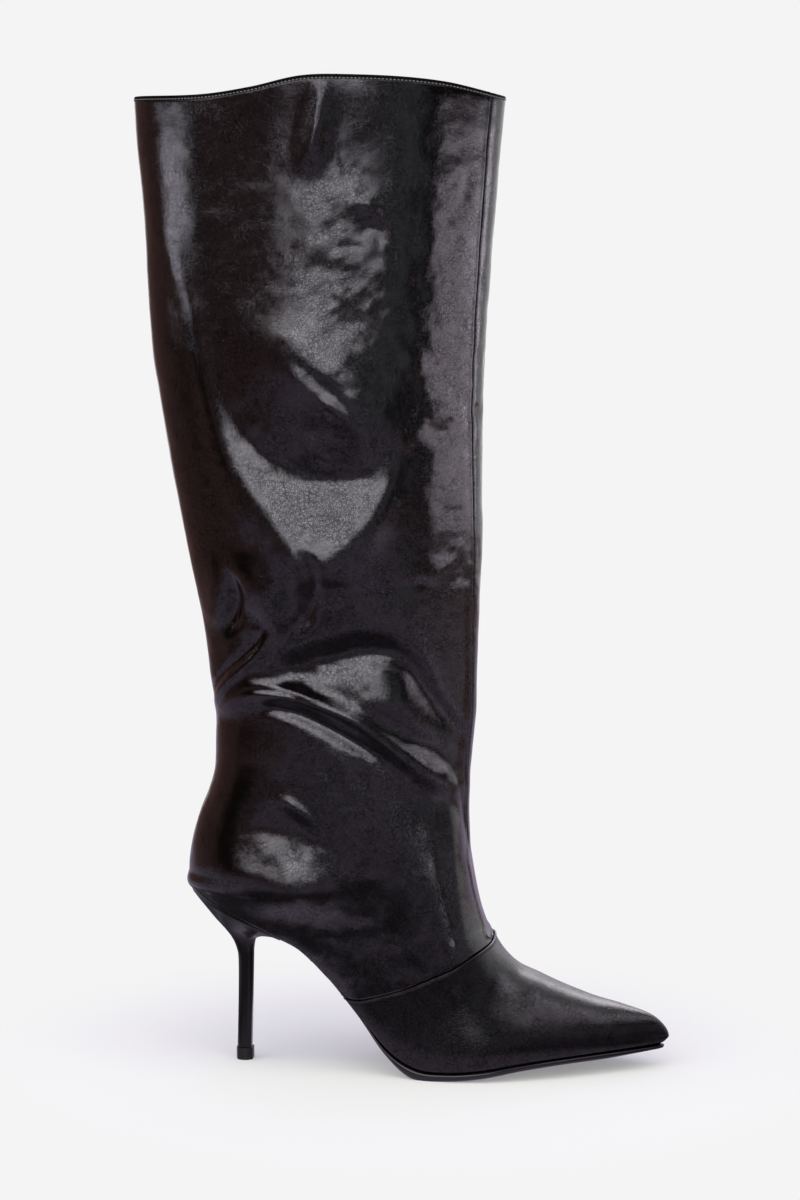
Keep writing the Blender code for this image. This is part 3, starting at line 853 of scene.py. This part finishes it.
def vamp_skin(angle, height):
    """The vamp's outer face. The angle goes round the foot, from 0 at the outer end of the seam to
    pi at the ridge and 2 pi at the inner end; height 0 is the feather line and 1 the seam."""
    share = np.sin(np.clip(angle, 0, 2 * pi) / 2)
    rear = VAMP_SEAM["x"][0]
    low_x = rear + (FOOT_LENGTH - rear) * share
    low_z = feather_height(low_x)
    high_x = rear + (VAMP_SEAM["x"][-1] - rear) * share
    high_z = smooth(high_x, VAMP_SEAM["x"], VAMP_SEAM["z"])
    line_x, line_z = front_line()
    ridge = (line_x > VAMP_SEAM["x"][-1]) & (line_z < INSTEP_HEIGHT)
    line_x, line_z = line_x[ridge], line_z[ridge]
    run = np.insert(np.cumsum(np.hypot(np.diff(line_x), np.diff(line_z))), 0, 0)
    front_x = np.interp(height * run[-1], run, line_x)
    front_z = np.interp(height * run[-1], run, line_z)
    # The straight way between the two edges, and the ridge's own way off the straight in the share
    # that lies toward it.
    toe_z = feather_height(FOOT_LENGTH)
    x = (1 - height) * low_x + height * high_x
    x = x + share * (front_x - (1 - height) * FOOT_LENGTH - height * VAMP_SEAM["x"][-1])
    z = (1 - height) * low_z + height * high_z
    z = z + share * (front_z - (1 - height) * toe_z - height * VAMP_SEAM["z"][-1])
    outside = (angle < pi)[..., None]
    return np.where(outside, on_side(x, z, "outer"), on_side(x, z, "inner"))


share, height = np.meshgrid(np.linspace(0, 1, VAMP_COLUMNS), crowded(VAMP_ROWS))
angle = 2 * pi * share
points = vamp_skin(angle, height)
normals = normals_of(vamp_skin, angle, height)
from_foot, from_seam = runs(points, 0)
# The inked strip along the seam, painted matte black as the shade in its groove.
ink_and_seam_shade = 1 - ease((from_seam - SEAM_SHADE_INK) / SEAM_SHADE_INK_FADE)
relief = VAMP_RISE * (1 - ease(from_seam / VAMP_FADE)) + VAMP_CRUMPLE * crumple(points)
relief += ridges(from_seam, EDGE_BEAD)
relief = relief * (1 - ink_and_seam_shade) + EDGE_RISE * ink_and_seam_shade
relief += ridges(from_seam, EDGE_GROOVE) + ridges(from_foot, LASTED_EDGE)
vamp_leather = leather("lasted_black_leather", 0.21, 0.38, (0.02, 0.02, 0.006))
vamp = sheet_of("vamp", points + normals * relief[..., None], vamp_leather)
mark_ink_and_seam_shade(vamp, ink_and_seam_shade)
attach(vamp, "root")
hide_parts("upper")


# The lining: thin black cloth glued inside the leather, seen only from above. Its top edge runs
# under the leather's folded facing.
LINING_ROWS = 120
LINING_COLUMNS = 160
LINING_TOP = 0.985
CLOTH_MOTTLE = 300.0
CLOTH_THREADS = 2500.0
THREAD_DEPTH = 0.15


def cloth(name, colour, sheen):
    """Plain cloth: a fine noise raises its threads, and a slower one mottles its colour."""
    shade, nodes, links, weave = new_material(name)
    place = put(nodes, links, "ShaderNodeTexCoord").outputs["Object"]
    pale = tuple(1.5 * part for part in colour)
    deep = tuple(0.6 * part for part in colour)
    mottle = noise(nodes, links, place, CLOTH_MOTTLE, 3.0)["Fac"]
    links.new(blend(nodes, links, mottle, deep, pale), weave.inputs["Base Color"])
    threads = noise(nodes, links, place, CLOTH_THREADS, 2.0)["Fac"]
    sources = (("Height", threads), ("Strength", 0.6), ("Distance", THREAD_DEPTH * MM))
    bump = put(nodes, links, "ShaderNodeBump", sources)
    links.new(bump.outputs["Normal"], weave.inputs["Normal"])
    weave.inputs["Roughness"].default_value = 0.9
    weave.inputs["Sheen Weight"].default_value = sheen
    return shade


share, height = np.meshgrid(np.linspace(0, 1, LINING_COLUMNS), np.linspace(0, LINING_TOP, LINING_ROWS))
angle = 2 * pi * share
points = leg_skin(angle, height)
normals = normals_of(leg_skin, angle, height)
inside = points + normals * (creases(points) - THICK)[..., None]
lining_cloth = cloth("black_lining", (0.02, 0.018, 0.018), 0.2)
lining = sheet_of("lining", inside[:, ::-1], lining_cloth)
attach(lining, "root")
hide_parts("upper")


# The outsole: a moulded sole with a polished edge from the heel's breast to the toe, glued on. It is
# flat under the ball, and under the arch it draws in behind the lasted leather.
# It lies this far under the leather and stands out past it by its lip. Under the arch it draws in,
# softly between these places, and behind the heel's breast its end is tucked in over the heel.
SOLE_GAP = 0.05
SOLE_LIP = 0.5
ARCH_INSET = 2.6
ARCH = (46.0, 60.0, 84.0, 100.0)
BREAST = 47.4
SOLE_TUCK = 2
# Once round, a half turn goes over the flat top, down the rounded side and along the underside. The
# side starts and ends at these shares of it, and stands proudest at that share of the thickness.
SIDE_TOP = 0.25
SIDE_FOOT = 0.75
PROUDEST = 0.43
SIDE_ROUND = 1.8
SOLE_STATIONS = 260
FLAT_TURNS = 8
EDGE_TURNS = 12
DOUBLED = 1e-6
SHARP = 70
RIPPLE = 120.0
RIPPLE_DEPTH = 0.05
# The sole's thickness at each station of the foot.
SOLE_THICK = np.array((
    1.6, 1.6, 1.6, 1.6, 1.0, 1.0, 1.0, 1.2, 2.0,
    4.6, 3.7, 3.4, 3.0, 2.8, 2.8, 2.2, 2.0, 2.0
))


def moulded(name, colour, roughness, gloss):
    """A moulded or lacquered part: even colour with a faint cloudiness, and a fine ripple."""
    shade, nodes, links, body = new_material(name)
    place = put(nodes, links, "ShaderNodeTexCoord").outputs["Object"]
    pale = tuple(1.4 * part for part in colour)
    deep = tuple(0.7 * part for part in colour)
    cloud = noise(nodes, links, place, RIPPLE, 4.0)["Fac"]
    links.new(blend(nodes, links, cloud, deep, pale), body.inputs["Base Color"])
    sources = (("Height", cloud), ("Strength", 0.3), ("Distance", RIPPLE_DEPTH * MM))
    bump = put(nodes, links, "ShaderNodeBump", sources)
    links.new(bump.outputs["Normal"], body.inputs["Normal"])
    body.inputs["Roughness"].default_value = roughness
    body.inputs["Specular IOR Level"].default_value = gloss
    return shade


def weld(piece):
    """Joins the doubled points where a piece's surface meets itself and at the middle of its ends,
    and keeps its hard edges sharp."""
    joined = bmesh.new()
    joined.from_mesh(piece.data)
    bmesh.ops.remove_doubles(joined, verts=joined.verts, dist=DOUBLED)
    joined.to_mesh(piece.data)
    joined.free()
    piece.data.set_sharp_from_angle(angle=radians(SHARP))


def outline(angle, side, sign, offset):
    """One side of the feather line from above, moved outward by an offset."""

    def place(at):
        """The line's point at an angle along it."""
        x = FOOT_LENGTH * (1 - np.cos(at)) / 2
        return np.stack([x, middle(x) + sign * foot_width(x, side)], -1)

    step = 1e-3
    run = place(np.clip(angle + step, 0, pi)) - place(np.clip(angle - step, 0, pi))
    run /= np.linalg.norm(run, axis=-1, keepdims=True)
    outward = np.stack([-sign * run[..., 1], sign * run[..., 0]], -1)
    return place(angle) + np.asarray(offset)[..., None] * outward


def bed(plan, depth):
    """Points at a depth below the feather line, square to it in the side view. Its slope is how
    much it rises over one millimetre."""
    x = plan[..., 0]
    slope = feather_height(x + 0.5) - feather_height(x - 0.5)
    length = np.hypot(slope, 1)
    return np.stack([x + slope * depth / length, plan[..., 1], feather_height(x) - depth / length], -1)


def sole_ring(angle, turned):
    """A station of the sole, once round: from the middle of its top out to one edge, down its rounded
    side and in to the middle below, and the same way back up the other side."""
    x = FOOT_LENGTH * (1 - np.cos(angle)) / 2
    thick = smooth(x / FOOT_LENGTH, FOOT["station"], SOLE_THICK)
    arch = ease((x - ARCH[0]) / (ARCH[1] - ARCH[0]))
    arch = arch * (1 - ease((x - ARCH[2]) / (ARCH[3] - ARCH[2])))
    reach = np.abs(turned)
    down = np.interp(reach, (0, SIDE_TOP, SIDE_FOOT, 1), (0, 0, 1, 1))
    out = np.interp(reach, (0, SIDE_TOP, SIDE_FOOT, 1), (0, 1, 1, 0))
    lip = SOLE_LIP * (1 - SIDE_ROUND * np.abs(2 * (down - PROUDEST)) ** 3)
    offset = (lip - ARCH_INSET * arch) * out
    depth = SOLE_GAP + down * thick
    outer = bed(outline(angle, "outer", -1, offset), depth)
    inner = bed(outline(angle, "inner", 1, offset), depth)
    centre = bed(np.stack([x, middle(x)], -1), depth)
    edge_point = np.where((turned <= 0)[..., None], outer, inner)
    points = centre + (edge_point - centre) * out[..., None]
    points[..., 2] = np.maximum(points[..., 2], 0)
    return points


breast = turn((BREAST - SOLE_TUCK) / FOOT_LENGTH)
half_turn = np.concatenate([
    np.linspace(0, SIDE_TOP, FLAT_TURNS),
    np.linspace(SIDE_TOP, SIDE_FOOT, EDGE_TURNS)[1:],
    np.linspace(SIDE_FOOT, 1, FLAT_TURNS)[1:],
])
turned = np.concatenate([-half_turn[::-1], half_turn[1:]])
angle, turned = np.meshgrid(np.linspace(breast, pi, SOLE_STATIONS), turned)
points = sole_ring(angle, turned)
# The end behind the breast is closed over its middle.
end = np.broadcast_to(points[:, :1].mean(0), points[:, :1].shape)
points = np.concatenate([end, points], axis=1)
polished = moulded("polished_sole", (0.003, 0.003, 0.0035), 0.2, 0.4)
outsole = sheet_of("outsole_finished", points, polished)
weld(outsole)
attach(outsole, "root")
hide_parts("outsole")


# The heel: a lacquered cup under the heel seat that draws in to a slim stem, round at the back and
# with a soft chamfer at each corner of its breast. Its wear cap is black rubber, nailed on, and
# inside the boot the insole is covered with the lining's cloth.
STEM_ROUND = 0.4
CHAMFER_START = 0.7
CHAMFER_WIDTH = 0.4
HEEL_GAP = 0.15
HEEL_INSET = 0.2
HEEL_COLUMNS = 60
BREAST_COLUMNS = 12
WIDTH_STEPS = 40
HEEL_ROWS = 150
DISH = 2.0
HEEL = table(
    "back back_height front front_height half_width stem",
    (
        (0.6, 84.0, 46.2, 64.6, 25.2, 0.00),
        (3.2, 80.6, 45.0, 64.3, 22.6, 0.05),
        (7.0, 75.8, 42.4, 63.9, 18.2, 0.20),
        (11.4, 70.4, 38.4, 63.1, 13.4, 0.45),
        (16.0, 65.2, 34.0, 62.0, 8.8, 0.75),
        (19.6, 60.4, 31.2, 59.8, 6.0, 0.92),
        (21.9, 55.0, 30.2, 55.4, 4.6, 1.00),
        (22.7, 49.0, 30.0, 49.0, 4.1, 1.00),
        (22.6, 30.0, 29.6, 30.0, 3.8, 1.00),
        (22.0, 6.3, 29.1, 6.3, 3.8, 1.00),
    ),
)


def stem_side(share):
    """A stem's half width along its depth: round at the back, with a chamfer at each corner of
    its breast."""
    back = np.sqrt(1 - np.clip(1 - share / STEM_ROUND, 0, 1) ** 2)
    chamfer = np.clip((share - CHAMFER_START) / (1 - CHAMFER_START), 0, 1)
    return back - CHAMFER_WIDTH * chamfer**1.3


def heel_row(level, across):
    """A ring of the heel at a level, counted in rows of its table from the seat down; across runs
    from 0 at the back along the outer side to 1, over the breast to 2 and back along the inner
    side to 3."""
    rows = np.arange(len(HEEL["back"]), dtype=float)
    back, back_z, front, front_z, half, stem = (smooth(level, rows, column) for column in HEEL.values())
    along = np.where(across < 1, across, np.where(across > 2, 3 - across, 1))
    end = turn((BREAST - HEEL_INSET) / FOOT_LENGTH)
    seat_x = FOOT_LENGTH * (1 - np.cos(end * along)) / 2
    share = seat_x / (FOOT_LENGTH * (1 - np.cos(end)) / 2)
    all_x = FOOT_LENGTH * (1 - np.cos(np.linspace(0, end, WIDTH_STEPS))) / 2
    seat_side = foot_width(seat_x, "outer") / foot_width(all_x, "outer").max()
    sign = np.where(across < 1, -1, np.where(across > 2, 1, 2 * across - 3))
    y = sign * half * ((1 - stem) * seat_side + stem * stem_side(share))
    return np.stack([back + (front - back) * share, y, back_z + (front_z - back_z) * share], -1)


def heel_top(across):
    """The heel's upper rim, just under the feather line."""
    end = turn((BREAST - HEEL_INSET) / FOOT_LENGTH)
    along = np.where(across < 1, across, np.where(across > 2, 3 - across, 1))
    outer = bed(outline(end * along, "outer", -1, 0 * along), HEEL_GAP)
    inner = bed(outline(end * along, "inner", 1, 0 * along), HEEL_GAP)
    share = np.clip(across - 1, 0, 1)[..., None]
    return outer * (1 - share) + inner * share


levels = np.linspace(len(HEEL["back"]) - 1, 0, HEEL_ROWS)
across = np.concatenate([
    np.linspace(0, 1, HEEL_COLUMNS),
    np.linspace(1, 2, BREAST_COLUMNS)[1:],
    np.linspace(2, 3, HEEL_COLUMNS)[1:],
])
level, round_heel = np.meshgrid(levels, across, indexing="ij")
body = heel_row(level, round_heel)
rim = heel_top(across)[None]
near_rim = np.array((0.5, 1.0))[:, None, None]
# Both ends are closed over their middle, and the seat's is a little hollow.
foot = np.broadcast_to(body[0].mean(0), rim.shape)
dish = np.broadcast_to(rim[0].mean(0) - (0, 0, DISH), rim.shape)
points = np.concatenate([foot, body, body[-1:] * (1 - near_rim) + rim * near_rim, dish])
lacquer = moulded("heel_lacquer", (0.003, 0.0026, 0.003), 0.24, 0.22)
heel = sheet_of("heel_finished", points, lacquer)
weld(heel)
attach(heel, "root")
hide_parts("heel")
rubber = moulded("lift_rubber", (0.004, 0.004, 0.004), 0.5, 0.25)
for node, shade in (("top_lift", rubber), ("insole", lining_cloth)):
    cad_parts[node].data.materials.clear()
    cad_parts[node].data.materials.append(shade)


# The studio's floor: plain white paper without an end, on which the boot stands. Seen straight it is
# one even tone, and the leather mirrors it lavender near the boot and dim further out.
FLOOR_HALF = 12.0
PALE = 0.905
# The share of its even white that the paper keeps close to the boot, where the boot's shadow shows,
# and the distances between which it goes over into all of it.
FLOOR_LIFT = 0.25
SHADED = (0.1, 0.26)
# The same paper as the leather mirrors it: its glow near the boot, the share of that which is left
# further out, what is beyond its sides, and where it ends.
FLOOR_GLOW = (0.82, 0.68, 0.92)
FLOOR_DARK = 0.6
FLOOR_FADE = (0.1, 0.42)
BARE_FLOOR = (0.25, 0.14, 0.13)
PAPER_SIDE = (0.58, 0.72)
PAPER_END = (1.5, 1.9)
# Each dim patch of the mirrored floor: its sides along x, its near and its far distance. Clouds
# break the patches up.
DIM_FLOOR = (0.1, 0.09, 0.11)
DIM_PATCHES = ((-0.21, 0.21, 0.12, 0.35), (-0.26, 0.0, 0.57, 0.83))
DIM_SOFT = 0.03
DIM_CLOUD = 16.0
DIM_SHARES = (0.3, 0.44)

corners = [(x * FLOOR_HALF, y * FLOOR_HALF, 0) for x, y in ((-1, -1), (1, -1), (1, 1), (-1, 1))]
floor_mesh = bpy.data.meshes.new("floor")
floor_mesh.from_pydata(corners, [], [(0, 1, 2, 3)])
floor = bpy.data.objects.new("floor", floor_mesh)
bpy.context.scene.collection.objects.link(floor)


def either(nodes, links, share, first, second):
    """Two shaders mixed by a share."""
    sources = (("Fac", share), (1, first.outputs[0]), (2, second.outputs[0]))
    return put(nodes, links, "ShaderNodeMixShader", sources)


def pale_floor():
    """White paper. In a mirror its glow goes softly from its near to its far colour with the distance
    from the boot, is dim inside each patch and bare past its sides, and ends in the room behind."""
    shade, nodes, links, paper = new_material("pale_floor")
    paper.inputs["Base Color"].default_value = (PALE, PALE, PALE, 1)
    paper.inputs["Roughness"].default_value = 1.0
    paper.inputs["Specular IOR Level"].default_value = 0.0
    path = put(nodes, links, "ShaderNodeLightPath").outputs
    place = put(nodes, links, "ShaderNodeTexCoord").outputs["Object"]
    reach = put(nodes, links, "ShaderNodeVectorMath", ((0, place),), operation="LENGTH").outputs["Value"]
    across = put(nodes, links, "ShaderNodeSeparateXYZ", (("Vector", place),)).outputs["X"]

    def between(value, start, end):
        """Softly 1 between start and end, and 0 outside them."""
        inner = soft_step(nodes, links, value, start - DIM_SOFT, start + DIM_SOFT)
        outer = soft_step(nodes, links, value, end + DIM_SOFT, end - DIM_SOFT)
        return sum_of(nodes, links, "MULTIPLY", inner, outer)

    far_glow = tuple(FLOOR_DARK * part for part in FLOOR_GLOW)
    glow = blend(nodes, links, soft_step(nodes, links, reach, *FLOOR_FADE), FLOOR_GLOW, far_glow)
    cloud = soft_step(nodes, links, noise(nodes, links, place, DIM_CLOUD, 2.0)["Fac"], *DIM_SHARES)
    for west, east, near, far in DIM_PATCHES:
        dim = sum_of(nodes, links, "MULTIPLY", between(reach, near, far), cloud)
        dim = sum_of(nodes, links, "MULTIPLY", dim, between(across, west, east))
        glow = blend(nodes, links, dim, glow, DIM_FLOOR)
    away = sum_of(nodes, links, "ABSOLUTE", across)
    glow = blend(nodes, links, soft_step(nodes, links, away, *PAPER_SIDE), glow, BARE_FLOOR)
    lit = put(nodes, links, "ShaderNodeEmission", (("Color", glow),))
    beyond = put(nodes, links, "ShaderNodeBsdfTransparent")
    mirrored = either(nodes, links, soft_step(nodes, links, reach, *PAPER_END), lit, beyond)
    plain = either(nodes, links, path["Is Glossy Ray"], paper, mirrored)
    # Away from the boot's shadow the camera sees the paper's own even white.
    lift = soft_step(nodes, links, reach, *SHADED)
    lift.node.inputs["To Min"].default_value = FLOOR_LIFT
    lift = sum_of(nodes, links, "MULTIPLY", path["Is Camera Ray"], lift)
    white = put(nodes, links, "ShaderNodeEmission", (("Color", (PALE, PALE, PALE, 1)),))
    seen = either(nodes, links, lift, plain, white)
    links.new(seen.outputs["Shader"], nodes["Material Output"].inputs["Surface"])
    return shade


floor.data.materials.append(pale_floor())


# The studio's room: a white wall behind the boot, and dark room in front of it with dim walls and a
# lit ceiling, which the leather mirrors. Its light on the paper comes mostly from the front.
WALL_EDGE = (0.1, 0.3)
PAPER = (0.9, 0.88, 0.92)
ROOM = (0.03, 0.02, 0.02)
# Each dim wall: its bearings, its rises, how soft its edges are, and its glow. Bearing runs from
# straight in front toward the toe's side and rise from level upward, in degrees.
DIM_WALLS = (
    (-150, -80, -30, 90, 3, (0.25, 0.14, 0.13)),
    (-50, -12, -14, 12, 2, (0.22, 0.13, 0.14)),
    (-12, 24, -14, 3, 2, (0.25, 0.23, 0.27)),
    (24, 34, -20, 12, 3, (0.45, 0.48, 0.55)),
    (-180, 180, 62, 91, 2.5, (0.8, 0.76, 0.86)),
)
# The paper is lit mostly from the front, so that the boot's soft shadow falls behind it and under
# its arch; the front and the back together give an open floor the same even white.
LIT_EDGE = (0.3, -0.3)
LIT_BACK = (0.47, 0.41, 0.65)
LIT_FRONT = (1.68, 1.69, 1.58)

world = bpy.data.worlds.new("studio")
world.use_nodes = True
bpy.context.scene.world = world
nodes, links = world.node_tree.nodes, world.node_tree.links
path = put(nodes, links, "ShaderNodeLightPath").outputs
heading = put(nodes, links, "ShaderNodeTexCoord").outputs["Generated"]
heading = put(nodes, links, "ShaderNodeSeparateXYZ", (("Vector", heading),)).outputs
toward = sum_of(nodes, links, "MULTIPLY", heading["Y"], -1.0)
bearing = sum_of(nodes, links, "ARCTAN2", heading["X"], toward)
bearing = sum_of(nodes, links, "MULTIPLY", bearing, 180 / pi)
rise = sum_of(nodes, links, "ARCSINE", heading["Z"])
rise = sum_of(nodes, links, "MULTIPLY", rise, 180 / pi)


def lay(colour, glow, *edges):
    """Lays a glow over a colour wherever all the edges are 1. An edge is a value and where its soft
    step starts and ends."""
    share = 1.0
    for edge in edges:
        share = sum_of(nodes, links, "MULTIPLY", share, soft_step(nodes, links, *edge))
    return blend(nodes, links, share, colour, glow)


room = lay(ROOM, PAPER, (heading["Y"], *WALL_EDGE))
for west, east, low, high, soft, glow in DIM_WALLS:
    room = lay(
        room,
        glow,
        (bearing, west - soft, west + soft),
        (bearing, east + soft, east - soft),
        (rise, low - soft, low + soft),
        (rise, high + soft, high - soft),
    )
dark = put(nodes, links, "ShaderNodeBackground", (("Color", room),))
around = lay(LIT_BACK, LIT_FRONT, (heading["Y"], *LIT_EDGE))
even = put(nodes, links, "ShaderNodeBackground", (("Color", around),))
white = put(nodes, links, "ShaderNodeBackground", (("Color", (PALE, PALE, PALE, 1)),))
mirrored = either(nodes, links, path["Is Glossy Ray"], even, dark)
sky = either(nodes, links, path["Is Camera Ray"], mirrored, white)
links.new(sky.outputs["Shader"], nodes["World Output"].inputs["Surface"])
# The rays themselves find the lights, so that each kind of ray meets its own.
world.cycles.sampling_method = "NONE"
floor.data.materials[0].cycles.emission_sampling = "NONE"


# Upright soft boxes round the boot: the bearing of each one's middle and half its width, in degrees,
# the heights of its two edges and how far off it stands, in metres, and its glow. The leather mirrors
# them; the paper doesn't, which the world lights evenly.
SOFT_BOXES = (
    ("left_box", -70, 10, 0.338, 0.446, 0.5, (3.3, 3.1, 3.6)),
    ("low_right_box", 66, 32, 0.05, 0.175, 0.35, (0.42, 0.4, 0.48)),
    ("front_left_box", -32, 20, 0.7, 2.4, 3.0, (4.2, 4.0, 4.4)),
    ("front_box", -7.5, 4.5, 0.22, 1.3, 1.6, (4.0, 3.8, 4.2)),
    ("far_front_box", 5.5, 8.5, 0.29, 2.0, 3.0, (3.8, 3.6, 4.0)),
    ("front_right_box", 32, 17, 0.85, 1.4, 1.6, (2.4, 2.2, 2.5)),
    ("right_box", 82, 37, 0.218, 0.43, 0.3, (2.4, 2.15, 2.5)),
    ("right_core_box", 98, 20, 0.33, 0.43, 0.3, (0.8, 0.75, 0.85)),
    ("back_box", 178, 18, 0.52, 1.6, 1.6, (3.4, 3.2, 3.5)),
)
for name, bearing, half, low, high, away, glow in SOFT_BOXES:
    lamp = bpy.data.lights.new(name, "AREA")
    lamp.shape = "RECTANGLE"
    lamp.size = 2 * away * tan(radians(half))
    lamp.size_y = high - low
    lamp.color = [part / max(glow) for part in glow]
    lamp.energy = max(glow) * pi * lamp.size * lamp.size_y
    box = bpy.data.objects.new(name, lamp)
    turned = radians(bearing)
    box.location = (away * sin(turned), -away * cos(turned), (low + high) / 2)
    box.rotation_euler = (pi / 2, 0, turned)
    box.visible_camera = False
    box.visible_diffuse = False
    bpy.context.scene.collection.objects.link(box)


# The camera: level with the boot's upper half, from its outer side and a little toward the toe. It
# looks down a little on the boot.
CAMERA_BEARING = 5.5
CAMERA_DISTANCE = 1.6
CAMERA_HEIGHT = 0.4215
CAMERA_DIP = 6.95
CAMERA_SIDE = -0.00215
LENS = 101.02
SENSOR = 36.0

camera_data = bpy.data.cameras.new("camera")
camera_data.lens = LENS
camera_data.sensor_width = SENSOR
camera = bpy.data.objects.new("camera", camera_data)
turned = radians(CAMERA_BEARING)
camera.location = (
    CAMERA_SIDE * cos(turned) + CAMERA_DISTANCE * sin(turned),
    CAMERA_SIDE * sin(turned) - CAMERA_DISTANCE * cos(turned),
    CAMERA_HEIGHT,
)
camera.rotation_euler = (radians(90 - CAMERA_DIP), 0, turned)
bpy.context.scene.collection.objects.link(camera)
bpy.context.scene.camera = camera
bpy.context.scene.view_settings.view_transform = "Standard"
